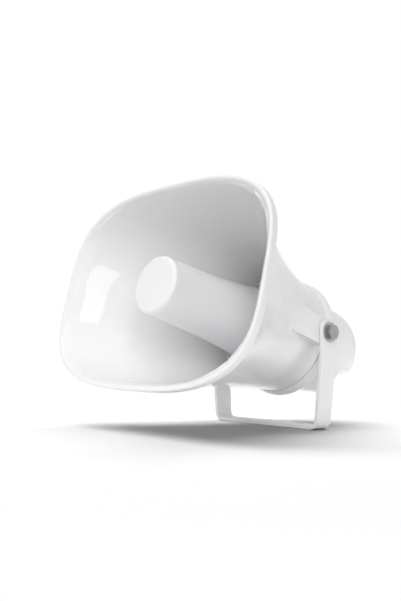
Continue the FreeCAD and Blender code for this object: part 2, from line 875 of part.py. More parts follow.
def cap_edges(inset):
    """The cover's rounded rear, a squared quarter between side and end, as one smooth curve."""
    places = []
    for i in range(cap_points):
        angle = math.pi / 2 * i / (cap_points - 1)
        c = math.cos(angle)
        d = math.sin(angle)
        k = (c ** cap_power + d ** cap_power) ** (-1 / cap_power)
        s = cap_start_reach - (cap_depth - inset) * k * d
        places.append(at(0, s, (pot_radius - inset) * k * c))
    curve = Part.BSplineCurve()
    curve.interpolate(Points=places, InitialTangent=at(0, -1, 0), FinalTangent=at(0, 0, -1))
    return curve.toShape(), places[0], places[-1]


def cover_volume(inset, s_front, front_radius):
    cap, cap_start, cap_end = cap_edges(inset)
    front = at(0, s_front, front_radius)
    return turned([Part.LineSegment(front, cap_start).toShape(), cap,
                   Part.LineSegment(cap_end, at(0, s_front, 0)).toShape(),
                   Part.LineSegment(at(0, s_front, 0), front).toShape()])


def hood_cut(grow):
    """The space cut away under the hood, widened by the cover's wall for the inside."""
    ceiling = hood_ceiling_rise + grow
    front = hood_wall_reach + grow
    low = -2 * flange_radius
    back = 2 * rear_reach
    points = [at(-flange_radius * 2, front, ceiling), at(-flange_radius * 2, back, ceiling),
              at(-flange_radius * 2, back, low), at(-flange_radius * 2, front, low)]
    edges = round_corners(points, [hood_corner_radius + grow, 0, 0, 0], closed=True)
    return face_of(edges).extrude(X_AXIS * flange_radius * 4)


def hood_rim_edges(cover):
    """Edges where the hood's flat ceiling meets the cover's round outside."""
    chosen = []
    for edge in cover.Edges:
        box = edge.BoundBox
        if abs(box.ZMin - hood_ceiling_rise) < 0.01 and abs(box.ZMax - hood_ceiling_rise) < 0.01:
            if box.YMax > -hood_wall_reach + hood_corner_radius + 1:
                chosen.append(edge)
    return chosen


def cover_lugs():
    lug = sector(spigot_radius - spigot_wall / 2, spigot_radius + lug_height, collar_front + lug_thickness,
                 collar_front, lug_angle)
    return [about_axis(lug, 360.0 / lug_count * i) for i in range(lug_count)]


def rear_cover():
    """Moulded cap: flange, spigot with lugs, rounded end and hooded wall for the cable gland."""
    flange_outline = [at(0, seal_back, 0), at(0, seal_back, flange_radius), at(0, flange_back, flange_radius),
                      at(0, flange_back, 0)]
    flange = turned(round_corners(flange_outline, [0, flange_round, flange_round, 0], closed=True))
    outside = flange.fuse(cover_volume(0, flange_back, pot_start_radius)).cut(hood_cut(0))
    outside = outside.makeFillet(hood_edge_round, hood_rim_edges(outside))
    spigot = disc(seal_back + spigot_length, seal_back, spigot_radius)
    outside = outside.fuse([spigot] + cover_lugs())
    inside = cover_volume(cover_wall, flange_back, pot_start_radius - cover_wall).cut(hood_cut(cover_wall))
    mouth = disc(seal_back + spigot_length + 1, flange_back - 1, spigot_radius - spigot_wall)
    boss_front = hood_wall_reach + gland_boss_depth
    inside = inside.cut(disc(boss_front, hood_wall_reach, gland_boss_radius, v=gland_rise))
    gland_bore = disc(boss_front + 1, hood_wall_reach - 1, gland_thread_radius + thread_clearance, v=gland_rise)
    return outside.cut([inside, mouth, gland_bore]).removeSplitter()


def cover_seal():
    return disc(body_end_reach, seal_back, seal_radius, spigot_radius + thread_clearance)


def gland_body():
    """Threaded stem through the wall, hexagon collar and the clamping end."""
    face = hood_wall_reach
    stem = disc(face + gland_thread_length, face, gland_thread_radius, v=gland_rise)
    collar = hexagon(gland_flats, face, face - gland_collar, v=gland_rise)
    clamp = disc(face - gland_collar, face - gland_collar - gland_clamp_length, gland_clamp_radius, v=gland_rise)
    bore = disc(face + gland_thread_length, face - gland_collar - gland_clamp_length, gland_bore_radius,
                v=gland_rise)
    return stem.fuse([collar, clamp]).cut(bore)


def gland_nut():
    """Cap nut with a rounded end and a round mouth."""
    front = hood_wall_reach - gland_collar - gland_gap
    back = front - gland_nut_length
    prism = hexagon(gland_flats, front, back, v=gland_rise)
    corner = gland_flats / math.sqrt(3)
    outline = [at(0, front, 0), at(0, front, corner), at(0, back, corner), at(0, back, 0)]
    rounded = turned(round_corners(outline, [0, 0, gland_nut_round, 0], closed=True))
    rounded.translate(FreeCAD.Vector(0, 0, gland_rise))
    pocket = disc(front, front - gland_clamp_length, gland_clamp_radius + gland_gap, v=gland_rise)
    mouth = disc(front, back, gland_mouth_radius + gland_gap, v=gland_rise)
    return prism.common(rounded).cut([pocket, mouth])


def gland_seal():
    """Blank rubber plug, as supplied before a cord is drawn in."""
    front = hood_wall_reach + gland_thread_length / 2
    step = hood_wall_reach - gland_collar - gland_clamp_length
    end = hood_wall_reach - gland_collar - gland_gap - gland_nut_length
    wide = disc(front, step, gland_bore_radius - thread_clearance / 2, v=gland_rise)
    narrow = disc(step, end + 1, gland_mouth_radius, v=gland_rise)
    return wide.fuse(narrow)


def boss_inserts():
    """Brass bushes in the bosses, with the bolts' threads left plain."""
    start = at(boss_face - insert_length, 0, -axis_rise)
    bush = Part.makeCylinder(insert_radius, insert_length, start, X_AXIS)
    bush = bush.cut(Part.makeCylinder(bolt_radius + thread_clearance, insert_length, start, X_AXIS))
    return Part.makeCompound([bush, mirrored(bush)])


def pivot_washers():
    place = FreeCAD.Vector(washer_face, 0, pivot_height)
    washer = Part.makeCylinder(washer_radius, washer_thickness, place, X_AXIS)
    hole = Part.makeCylinder(bolt_radius + ear_hole_clearance, washer_thickness, place, X_AXIS)
    washer = washer.cut(hole)
    return Part.makeCompound([washer, mirrored(washer)])


def pivot_bolts():
    """Hexagon bolts with chamfered heads, from the washers into the brass bushes."""
    corner = bolt_head_flats / math.sqrt(3)
    points = []
    for i in range(6):
        angle = math.radians(60 * i)
        points.append(FreeCAD.Vector(head_face, corner * math.cos(angle),
                                     pivot_height + corner * math.sin(angle)))
    head = polygon_face(points).extrude(X_AXIS * bolt_head_height)
    end_radius = bolt_head_flats / 2 - bolt_head_chamfer / 2
    spread = bolt_head_height * math.tan(math.radians(60))
    cone = Part.makeCone(end_radius + spread, end_radius, bolt_head_height,
                         FreeCAD.Vector(head_face, 0, pivot_height), X_AXIS)
    head = head.common(cone)
    shank = Part.makeCylinder(bolt_radius, head_face - bolt_end_x,
                              FreeCAD.Vector(bolt_end_x, 0, pivot_height), X_AXIS)
    bolt = head.fuse(shank)
    return Part.makeCompound([bolt, mirrored(bolt)])


def u_bracket():
    """A flat strap folded into a U: base, two legs that lean outwards and two upright ears."""
    ear_top = pivot_height + ear_round_lift + strap_width / 2
    bend_height = pivot_height - ear_bend_drop
    lean = math.atan((ear_outer - base_half_width) / bend_height)
    inner_bend = bend_height + strap_thickness * math.tan(lean / 2)
    inner_base = base_half_width - strap_thickness / math.cos(lean) + strap_thickness * math.tan(lean)
    right_outer = [(base_half_width, 0), (ear_outer, bend_height), (ear_outer, ear_top)]
    right_inner = [(ear_outer - strap_thickness, ear_top), (ear_outer - strap_thickness, inner_bend),
                   (inner_base, strap_thickness)]
    pairs = right_outer + right_inner
    left = [(-x, z) for x, z in reversed(pairs)]
    outer_base_radius = base_bend_radius + strap_thickness
    radii = [outer_base_radius, ear_bend_radius, 0, 0, ear_bend_radius + strap_thickness, base_bend_radius]
    points = [FreeCAD.Vector(x, -strap_width / 2, z) for x, z in pairs + left]
    strap = face_of(round_corners(points, radii + list(reversed(radii)), closed=True))
    strap = strap.extrude(Y_AXIS * strap_width)
    strap = strap.makeFillet(strap_edge_round, long_strap_edges(strap))
    strap = strap.common(ear_rounding())
    return strap.cut(base_openings() + [ear_holes()])


def long_strap_edges(strap):
    """Edges that run along the strap on its two sides."""
    half = strap_width / 2
    chosen = []
    for edge in strap.Edges:
        box = edge.BoundBox
        if box.YMax - box.YMin < 0.01 and abs(abs(box.YMax) - half) < 0.01:
            is_end = box.ZMin > pivot_height and box.ZMax - box.ZMin < 0.01
            if not is_end:
                chosen.append(edge)
    return chosen


def ear_rounding():
    """Keeps all below the ears' rounding centre and a full round above it."""
    centre = pivot_height + ear_round_lift
    half = 2 * ear_outer
    below = Part.makeBox(2 * half, strap_width * 2, centre + strap_width,
                         FreeCAD.Vector(-half, -strap_width, -strap_width))
    full_round = Part.makeCylinder(strap_width / 2, 2 * half, FreeCAD.Vector(-half, 0, centre), X_AXIS)
    return below.fuse(full_round)


def ear_holes():
    reach = 2 * ear_outer
    return Part.makeCylinder(bolt_radius + ear_hole_clearance, 2 * reach,
                             FreeCAD.Vector(-reach, 0, pivot_height), X_AXIS)


def base_openings():
    """Centre hole and one slot either side of it, for fixing the bracket down."""
    start = -strap_thickness
    depth = 3 * strap_thickness
    openings = [Part.makeCylinder(base_hole_radius, depth, FreeCAD.Vector(0, 0, start))]
    straight = slot_length - 2 * slot_half_width
    for side in (-1, 1):
        centre = side * slot_spacing / 2
        slot = Part.makeBox(straight, 2 * slot_half_width, depth,
                            FreeCAD.Vector(centre - straight / 2, -slot_half_width, start))
        ends = [Part.makeCylinder(slot_half_width, depth, FreeCAD.Vector(centre + end * straight / 2, 0, start))
                for end in (-1, 1)]
        openings.append(slot.fuse(ends))
    return openings


horn_pieces = {
    "horn_flare": horn_flare,
    "centre_bell": centre_bell,
    "throat_horn": throat_horn,
    "throat_gasket": throat_gasket,
    "driver_screws": driver_screws,
    "driver_front": driver_front,
    "phase_plug": phase_plug,
    "diaphragm": diaphragm,
    "voice_coil": voice_coil,
    "diaphragm_ring": diaphragm_ring,
    "driver_terminals": driver_terminals,
    "pole_plate": pole_plate,
    "magnet": magnet,
    "yoke": yoke,
    "transformer_core": transformer_core,
    "transformer_bobbin": transformer_bobbin,
    "transformer_winding": transformer_winding,
    "transformer_strap": transformer_strap,
    "strap_screws": strap_screws,
    "terminal_block": terminal_block,
    "terminal_screws": terminal_screws,
    "driver_leads": driver_leads,
    "line_leads": line_leads,
    "rear_cover": rear_cover,
    "cover_seal": cover_seal,
    "gland_body": gland_body,
    "gland_nut": gland_nut,
    "gland_seal": gland_seal,
    "boss_inserts": boss_inserts,
}

upright_pieces = {
    "u_bracket": u_bracket,
    "pivot_washers": pivot_washers,
    "pivot_bolts": pivot_bolts,
}

os.makedirs("parts", exist_ok=True)
for name, make in horn_pieces.items():
    place_horn(make()).exportStep("parts/" + name + ".step")
for name, make in upright_pieces.items():
    make().exportStep("parts/" + name + ".step")
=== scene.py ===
import json
import math

import bmesh
import bpy
from bpy.props import FloatProperty, FloatVectorProperty, IntProperty, PointerProperty
from mathutils import Matrix, Vector


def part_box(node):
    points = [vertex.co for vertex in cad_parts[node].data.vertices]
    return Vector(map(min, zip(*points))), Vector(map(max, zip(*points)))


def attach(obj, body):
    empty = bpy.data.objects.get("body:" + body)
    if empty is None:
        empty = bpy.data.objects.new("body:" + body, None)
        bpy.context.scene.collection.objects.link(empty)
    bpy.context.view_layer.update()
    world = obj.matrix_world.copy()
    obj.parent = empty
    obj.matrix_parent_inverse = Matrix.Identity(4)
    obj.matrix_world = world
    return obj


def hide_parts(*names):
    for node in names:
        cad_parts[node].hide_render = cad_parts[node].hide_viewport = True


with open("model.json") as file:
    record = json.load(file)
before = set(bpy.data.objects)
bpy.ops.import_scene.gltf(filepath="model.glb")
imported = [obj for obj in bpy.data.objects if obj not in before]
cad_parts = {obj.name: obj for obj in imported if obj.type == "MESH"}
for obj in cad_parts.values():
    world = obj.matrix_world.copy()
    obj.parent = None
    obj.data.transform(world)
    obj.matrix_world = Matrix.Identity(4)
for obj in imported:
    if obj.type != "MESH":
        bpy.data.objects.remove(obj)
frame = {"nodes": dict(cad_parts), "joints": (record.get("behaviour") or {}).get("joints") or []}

bl_info = {
    "name": "Horn Loudspeaker Studio",
    "version": (1, 0, 0),
    "blender": (4, 5, 0),
    "location": "3D View > Sidebar > Horn",
    "description": "Finishes, details and studio for a horn loudspeaker on a tilting bracket",
    "category": "Object",
}

# CAD nodes that share a finish
SHELL_NODES = ("horn_flare", "centre_bell", "rear_cover")
GLAND_NODES = ("gland_body", "gland_nut")
ZINC_NODES = ("driver_screws", "pole_plate", "yoke", "transformer_strap", "strap_screws")
BRASS_NODES = ("boss_inserts", "driver_terminals", "terminal_screws")
RUBBER_NODES = ("cover_seal", "gland_seal", "throat_gasket")
LEAD_NODES = ("driver_leads", "line_leads")
TILT_AXIS = Vector(frame["joints"][0]["pos_m"])

# Mesh work: points closer than this, in metres, are joined, and edges sharper than this stay crisp
MERGE_DISTANCE = 1e-6
SHARP_ANGLE = math.radians(34.0)

# Lip: steps of the search for a point's depth, and how far its front is cut before it bends
OUTLINE_HALVINGS = 16
LIP_PARTS = 3
LIP_CUTS = 5

# Lip's inner edge: how far back it is looked for, in lip falls, and how near, in lip widths
INNER_LIP_REACH = 1.2
INNER_LIP_SLACK = 0.1

# Boss blend: rounds of cutting, least sideways look of a face, room in boss half heights, smoothing
BLEND_ROUNDS = 4
BLEND_FACING = 0.05
BLEND_BELOW = 0.7
BLEND_ABOVE = 2.4
SMOOTHING = 0.5

# Middle of a noise's range, which is spread over a whole range of shades or values
NOISE_LOW = 0.3
NOISE_HIGH = 0.7

# Soft lights round the horn: turn from its front and rise in degrees, width and height in metres
SOFT_LIGHTS = (
    ("key", 40.0, 20.0, (0.9, 1.6)),
    ("fill", -20.0, 45.0, (0.9, 0.9)),
    ("top", 0.0, 65.0, (0.9, 0.9)),
    ("side", 130.0, 5.0, (0.9, 0.9)),
)
SOFT_LIGHT_DISTANCE = 1.5
HORN_MIDDLE = (0.0, -0.05, 0.12)

# The other lights: place, what they look at, width and height, all in metres
BOUNCE_PLACE = (0.0, -0.05, 0.001)
BOUNCE_SIZE = (1.2, 1.2)
FLOOR_LIGHT_PLACE = (-0.25, -0.05, 1.0)
FLOOR_LIGHT_TARGET = (0.0, -0.1, 0.0)
FLOOR_LIGHT_SIZE = (2.4, 0.8)
WINDOW_PLACE = (1.09, -0.93, 0.548)
WINDOW_TARGET = (-0.12, -0.145, 0.135)
WINDOW_SIZE = (0.24, 0.58)

WHITE = (1.0, 1.0, 1.0, 1.0)

# Floor: shares of its radius between which it fades, and points round its rim
FADE_START = 0.35
FADE_END = 0.85
RIM_POINTS = 96


def colour_setting(name, description, default):
    """A colour, linear red, green and blue."""
    return FloatVectorProperty(name=name, description=description, default=default, subtype="COLOR",
                               min=0.0, max=1.0, size=3)


def share_setting(name, description, default):
    """A value from 0 to 1."""
    return FloatProperty(name=name, description=description, default=default, min=0.0, max=1.0)


def length_setting(name, description, default):
    """A length in metres."""
    return FloatProperty(name=name, description=description, default=default, min=0.0, unit="LENGTH",
                         precision=5)


def reach_setting(name, description, default):
    """A place along the horn's axis in metres, before or behind the tilt axis."""
    return FloatProperty(name=name, description=description, default=default, unit="LENGTH", precision=5)


def angle_setting(name, description, degrees):
    """An angle, given in degrees."""
    return FloatProperty(name=name, description=description, default=math.radians(degrees),
                         subtype="ANGLE")


def power_setting(name, description, default):
    """A lamp's power in watts."""
    return FloatProperty(name=name, description=description, default=default, min=0.0, unit="POWER")


class HornShapeSettings(bpy.types.PropertyGroup):
    """Sizes of the mouth, the bosses and the crease, in the horn's own frame."""
    tilt: angle_setting("Tilt", "How far the horn looks up as it stands", 12.8)
    axis_rise: length_setting("Axis rise", "Height of the horn's axis over the tilt axis", 0.0013)
    mouth_width: length_setting("Mouth width", "Width of the mouth's outline", 0.2854)
    mouth_height: length_setting("Mouth height", "Height of the mouth's outline", 0.2023)
    mouth_reach: length_setting("Mouth reach", "From the tilt axis to the mouth's front", 0.1725)
    across_power: FloatProperty(name="Power across", description="Squareness of the outline across",
                                default=2.88)
    up_power: FloatProperty(name="Power upwards", description="Squareness of the outline upwards",
                            default=3.47)
    lip_width: length_setting("Lip width", "Width of the moulding's lip", 0.0053)
    lip_narrow: length_setting("Lip narrowing", "How much of its width the lip gives up to the mouth",
                               0.0011)
    lip_round: length_setting("Lip round", "Radius of the lip's outer edge", 0.0016)
    lip_fall: length_setting("Lip fall", "How far the lip falls towards its inner edge", 0.003)
    lip_ledge: length_setting("Lip ledge", "Depth of the moulding's front that takes part in the fall",
                              0.00125)
    boss_half_height: length_setting("Boss half height", "Half the height of a pivot boss", 0.0106)
    boss_face: length_setting("Boss face", "From the middle to the boss's flat face", 0.07425)
    seat_end: length_setting("Seat end", "Reach up to which a boss's face stays flat", 0.024)
    boss_growth: length_setting("Boss growth", "How far a boss could swell on its way to the mouth",
                                0.073)
    blend_grid: length_setting("Blend grid", "Longest edge where a boss runs into the flare", 0.002)
    blend_across: length_setting("Blend across", "Distance from the middle where the blend starts",
                                 0.060)
    blend_start: length_setting("Blend start", "Reach at which the blend starts", 0.020)
    blend_end: length_setting("Blend end", "Reach at which the blend ends", 0.085)
    blend_turns: IntProperty(name="Blend turns", description="How often the blend is smoothed",
                             default=80, min=0)
    crease_start: reach_setting("Crease start", "Reach of the crease's front edge", -0.0118)
    crease_end: reach_setting("Crease end", "Reach of the crease's rear edge", -0.0162)
    crease_floor: length_setting("Crease floor", "Radius under which nothing is moved", 0.0603)
    crease_step: length_setting("Crease step", "Radius that parts the crease's floor from its edges",
                                0.0610)
    crease_rim: length_setting("Crease rim", "Radius over which nothing is moved", 0.0625)
    crease_width: length_setting("Crease width", "Width of the crease", 0.0024)
    crease_depth: length_setting("Crease depth", "How far the crease's floor sinks", 0.0020)


class HornCoilSettings(bpy.types.PropertyGroup):
    """Sizes of the transformer's wire and sheets."""
    wire_size: length_setting("Wire size", "Thickness of one turn of the winding's wire", 0.0010)
    wire_proud: length_setting("Wire proud", "How far the outer turns stand out of the winding", 0.00025)
    wire_corner: length_setting("Wire corner", "Radius of the turns round the winding's corners", 0.0020)
    sheet_size: length_setting("Sheet size", "Thickness of one sheet of the core", 0.0008)
    sheet_proud: length_setting("Sheet proud", "How far the sheets' edges stand out of the core", 0.00012)
    sheet_corner: length_setting("Sheet corner", "Radius of the sheets' corners", 0.0005)


class HornFinishSettings(bpy.types.PropertyGroup):
    """Colours and surface values of the finishes that show outside."""
    shell_colour: colour_setting("Shell colour", "Moulded plastic of the horn", (0.80, 0.80, 0.808))
    shell_roughness: share_setting("Shell roughness", "Roughness of the moulded plastic", 0.42)
    shell_grain: share_setting("Shell grain", "Strength of the fine grain in the plastic", 0.02)
    shell_coat: share_setting("Shell coat", "Strength of the gloss over the plastic", 0.7)
    bracket_colour: colour_setting("Bracket colour", "Paint on the steel bracket", (0.76, 0.76, 0.772))
    bracket_roughness: share_setting("Bracket roughness", "Roughness of the bracket's paint", 0.34)
    bolt_colour: colour_setting("Bolt colour", "Steel of the pivot bolts", (0.36, 0.36, 0.37))
    washer_colour: colour_setting("Washer colour", "Steel of the pivot washers", (0.45, 0.45, 0.46))


class HornStudioSettings(bpy.types.PropertyGroup):
    """Camera, lights and floor."""
    camera_place: FloatVectorProperty(name="Camera place",
                                      description="Camera position in the part's frame",
                                      default=(0.5172, -0.5843, 0.0660), subtype="TRANSLATION",
                                      unit="LENGTH", size=3)
    camera_turn: angle_setting("Camera turn", "Turn of the camera about the vertical", 47.17)
    camera_rise: angle_setting("Camera rise", "Elevation of the camera above the horizon", -4.85)
    camera_roll: angle_setting("Camera roll", "Roll of the camera about its own axis", -1.21)
    focal_length: FloatProperty(name="Focal length", description="Lens on a 36 mm sensor, in millimetres",
                                default=42.89, min=1.0)
    room_light: FloatProperty(name="Room light", description="Strength of the even light from all sides",
                              default=0.18, min=0.0)
    key_power: power_setting("Key light", "Power of the soft light from the camera's side", 12.0)
    fill_power: power_setting("Fill light", "Power of the soft light that looks into the mouth", 5.8)
    top_power: power_setting("Top light", "Power of the soft light high above the mouth", 6.6)
    side_power: power_setting("Side light", "Power of the soft light on the bolt's side", 5.0)
    bounce_power: power_setting("Bounce light", "Power of the light that a pale floor throws up", 1.1)
    floor_power: power_setting("Floor light", "Power of the light that whitens the floor", 45.0)
    window_power: power_setting("Window light", "Power of the window that shows in the gloss", 1.6)
    floor_radius: length_setting("Floor radius", "Radius of the pale floor", 0.62)


# Materials

def new_material(name):
    """A material with its Principled shader joined to the output, and nothing else."""
    material = bpy.data.materials.new(name)
    material.use_nodes = True
    nodes = material.node_tree.nodes
    nodes.clear()
    output = nodes.new("ShaderNodeOutputMaterial")
    shader = nodes.new("ShaderNodeBsdfPrincipled")
    material.node_tree.links.new(shader.outputs["BSDF"], output.inputs["Surface"])
    return material, shader


def object_noise(material, scale, detail=3.0, stretch=(1.0, 1.0, 1.0)):
    """Noise that follows the object's own coordinates, stretched along its axes."""
    nodes = material.node_tree.nodes
    links = material.node_tree.links
    coordinates = nodes.new("ShaderNodeTexCoord")
    mapping = nodes.new("ShaderNodeMapping")
    mapping.inputs["Scale"].default_value = stretch
    noise = nodes.new("ShaderNodeTexNoise")
    noise.inputs["Scale"].default_value = scale
    noise.inputs["Detail"].default_value = detail
    links.new(coordinates.outputs["Object"], mapping.inputs["Vector"])
    links.new(mapping.outputs["Vector"], noise.inputs["Vector"])
    return noise.outputs["Fac"]


def shade_range(material, factor, low, high):
    """A colour between two, chosen by a noise."""
    ramp = material.node_tree.nodes.new("ShaderNodeValToRGB")
    ramp.color_ramp.elements[0].position = NOISE_LOW
    ramp.color_ramp.elements[0].color = (*low, 1.0)
    ramp.color_ramp.elements[1].position = NOISE_HIGH
    ramp.color_ramp.elements[1].color = (*high, 1.0)
    material.node_tree.links.new(factor, ramp.inputs["Fac"])
    return ramp.outputs["Color"]


def tinted(colour, share):
    """The colour made darker or lighter by a share of itself."""
    return tuple(max(0.0, min(1.0, channel * (1.0 + share))) for channel in colour)


def clouded_colour(material, shader, factor, colour, darker, lighter):
    """A base colour that wanders by two shares of itself."""
    shades = shade_range(material, factor, tinted(colour, -darker), tinted(colour, lighter))
    material.node_tree.links.new(shades, shader.inputs["Base Color"])


def uneven_gloss(material, shader, factor, roughness, smoothest, roughest):
    """A roughness that wanders between two shares of itself."""
    spread = material.node_tree.nodes.new("ShaderNodeMapRange")
    spread.inputs["From Min"].default_value = NOISE_LOW
    spread.inputs["From Max"].default_value = NOISE_HIGH
    spread.inputs["To Min"].default_value = roughness * smoothest
    spread.inputs["To Max"].default_value = roughness * roughest
    material.node_tree.links.new(factor, spread.inputs["Value"])
    material.node_tree.links.new(spread.outputs["Result"], shader.inputs["Roughness"])


def add_bump(material, shader, height, strength, distance):
    """A surface relief from a height value, with its distance in metres."""
    bump = material.node_tree.nodes.new("ShaderNodeBump")
    bump.inputs["Strength"].default_value = strength
    bump.inputs["Distance"].default_value = distance
    material.node_tree.links.new(height, bump.inputs["Height"])
    material.node_tree.links.new(bump.outputs["Normal"], shader.inputs["Normal"])


def moulded_plastic(name, colour, roughness, grain, coat=0.0):
    """Injection-moulded plastic: faint cloudiness, a very fine grain and a slightly uneven gloss."""
    material, shader = new_material(name)
    cloud = object_noise(material, scale=14.0)
    clouded_colour(material, shader, cloud, colour, darker=0.012, lighter=0.008)
    patches = object_noise(material, scale=60.0)
    uneven_gloss(material, shader, patches, roughness, smoothest=0.9, roughest=1.15)
    fine_grain = object_noise(material, scale=2600.0, detail=1.0)
    add_bump(material, shader, fine_grain, strength=grain, distance=0.0001)
    shader.inputs["Specular IOR Level"].default_value = 0.1 if coat else 0.4
    shader.inputs["Coat Weight"].default_value = coat
    shader.inputs["Coat Roughness"].default_value = 0.02
    return material


def painted_steel(name, colour, roughness):
    """Powder coat on steel: even colour with a soft orange-peel relief."""
    material, shader = new_material(name)
    cloud = object_noise(material, scale=25.0)
    clouded_colour(material, shader, cloud, colour, darker=0.02, lighter=0.01)
    patches = object_noise(material, scale=120.0)
    uneven_gloss(material, shader, patches, roughness, smoothest=0.9, roughest=1.15)
    orange_peel = object_noise(material, scale=900.0, detail=2.0)
    add_bump(material, shader, orange_peel, strength=0.10, distance=0.0002)
    return material


def plain_metal(name, colour, roughness, stretch=(1.0, 1.0, 1.0), scale=400.0, relief=0.05):
    """Bare or plated metal with fine tool marks along one direction."""
    material, shader = new_material(name)
    marks = object_noise(material, scale, detail=4.0, stretch=stretch)
    clouded_colour(material, shader, marks, colour, darker=0.14, lighter=0.10)
    uneven_gloss(material, shader, marks, roughness, smoothest=0.8, roughest=1.3)
    add_bump(material, shader, marks, strength=relief, distance=0.0002)
    shader.inputs["Metallic"].default_value = 1.0
    return material


def dull_surface(name, colour, roughness, scale, relief, contrast=0.12):
    """Rubber, ferrite and other matt stuff with a mottled grain."""
    material, shader = new_material(name)
    mottle = object_noise(material, scale, detail=5.0)
    clouded_colour(material, shader, mottle, colour, darker=contrast, lighter=contrast)
    uneven_gloss(material, shader, mottle, roughness, smoothest=0.9, roughest=1.1)
    add_bump(material, shader, mottle, strength=relief, distance=0.0003)
    return material


def give(nodes, material):
    """Puts one material on CAD nodes, in place of their plain one."""
    for name in nodes:
        slots = frame["nodes"][name].material_slots
        if not slots:
            raise RuntimeError("no material slot on " + name)
        for slot in slots:
            slot.material = material


class HORN_OT_shell_finish(bpy.types.Operator):
    """Finish the moulded plastic and the rubber: flare, bell, inner horn, cover, gland and seals"""
    bl_idname = "horn.shell_finish"
    bl_label = "Finish the shell"

    def execute(self, context):
        finish = context.scene.horn_finish
        colour = tuple(finish.shell_colour)
        give(SHELL_NODES, moulded_plastic("shell_plastic", colour, finish.shell_roughness,
                                          finish.shell_grain, finish.shell_coat))
        give(("throat_horn",), moulded_plastic("inner_horn_plastic", tinted(colour, -0.06),
                                               roughness=0.35, grain=0.05))
        give(GLAND_NODES, moulded_plastic("gland_nylon", tinted(colour, -0.14),
                                          roughness=0.42, grain=0.08))
        give(RUBBER_NODES, dull_surface("black_rubber", (0.018, 0.018, 0.019),
                                        roughness=0.75, scale=500.0, relief=0.2))
        return {"FINISHED"}


class HORN_OT_metal_finish(bpy.types.Operator):
    """Finish the bracket, bolts and washers"""
    bl_idname = "horn.metal_finish"
    bl_label = "Finish the bracket and bolts"

    def execute(self, context):
        finish = context.scene.horn_finish
        give(("u_bracket",), painted_steel("bracket_paint", tuple(finish.bracket_colour),
                                           finish.bracket_roughness))
        give(("pivot_bolts",), plain_metal("bolt_steel", tuple(finish.bolt_colour),
                                           roughness=0.34, stretch=(0.2, 1.0, 1.0)))
        give(("pivot_washers",), plain_metal("washer_steel", tuple(finish.washer_colour),
                                             roughness=0.38, stretch=(1.0, 1.0, 0.3)))
        return {"FINISHED"}


class HORN_OT_inside_finish(bpy.types.Operator):
    """Finish the driver, transformer and wiring inside the body"""
    bl_idname = "horn.inside_finish"
    bl_label = "Finish the inside"

    def execute(self, context):
        give(ZINC_NODES, plain_metal("zinc_plate", (0.52, 0.52, 0.50), roughness=0.32, scale=250.0))
        give(BRASS_NODES, plain_metal("brass", (0.68, 0.50, 0.20),
                                      roughness=0.26, stretch=(1.0, 1.0, 0.3)))
        give(("driver_front",), plain_metal("cast_alloy", (0.60, 0.60, 0.61),
                                            roughness=0.45, scale=700.0, relief=0.2))
        give(("magnet",), dull_surface("ferrite", (0.045, 0.045, 0.048),
                                       roughness=0.6, scale=800.0, relief=0.3))
        give(("transformer_core",), plain_metal("core_steel", (0.10, 0.10, 0.11), roughness=0.5,
                                                stretch=(0.05, 0.05, 1.0), scale=1500.0, relief=0.4))
        give(("transformer_winding",), plain_metal("enamelled_copper", (0.50, 0.16, 0.06), roughness=0.22,
                                                   stretch=(0.05, 1.0, 1.0), scale=1200.0, relief=0.4))
        give(("voice_coil",), plain_metal("coil_copper", (0.60, 0.24, 0.10), roughness=0.28,
                                          stretch=(0.05, 1.0, 1.0), scale=2500.0, relief=0.4))
        give(("transformer_bobbin", "terminal_block"),
             moulded_plastic("cream_plastic", (0.70, 0.68, 0.58), roughness=0.45, grain=0.08))
        give(("diaphragm_ring", "phase_plug"),
             moulded_plastic("black_plastic", (0.02, 0.02, 0.021), roughness=0.5, grain=0.08))
        give(("diaphragm",), dull_surface("phenolic_cloth", (0.20, 0.09, 0.03),
                                          roughness=0.5, scale=1500.0, relief=0.3, contrast=0.2))
        give(LEAD_NODES, dull_surface("red_sleeve", (0.42, 0.03, 0.02),
                                      roughness=0.4, scale=300.0, relief=0.05))
        return {"FINISHED"}


# The flare's skin

def in_horn_frame(point):
    """Across, reach and rise of a point in the horn's own frame, from its place in the part's frame."""
    shape = bpy.context.scene.horn_shape
    c = math.cos(shape.tilt)
    d = math.sin(shape.tilt)
    rise = point.z - TILT_AXIS.z
    return point.x, d * rise - c * point.y, c * rise + d * point.y - shape.axis_rise


def from_horn_frame(across, reach, rise):
    """The place in the part's frame of a point given in the horn's own frame."""
    shape = bpy.context.scene.horn_shape
    c = math.cos(shape.tilt)
    d = math.sin(shape.tilt)
    lifted = rise + shape.axis_rise
    return Vector((across, d * lifted - c * reach, c * lifted + d * reach + TILT_AXIS.z))


def merged_copy(node):
    """A mesh in edit form with the node's loose triangles joined."""
    mesh = bmesh.new()
    mesh.from_mesh(node.data)
    bmesh.ops.remove_doubles(mesh, verts=mesh.verts, dist=MERGE_DISTANCE)
    return mesh


def depth_from_outline(across, rise, shape):
    """How far a point of the lip lies inside the mouth's outline, by halving the range of the answer."""
    low = 0.0
    high = shape.lip_width * 2
    for _ in range(OUTLINE_HALVINGS):
        middle = (low + high) / 2
        squared_ring = ((abs(across) / (shape.mouth_width / 2 - middle)) ** shape.across_power
                        + (abs(rise) / (shape.mouth_height / 2 - middle)) ** shape.up_power)
        if squared_ring < 1:
            low = middle
        else:
            high = middle
    return (low + high) / 2


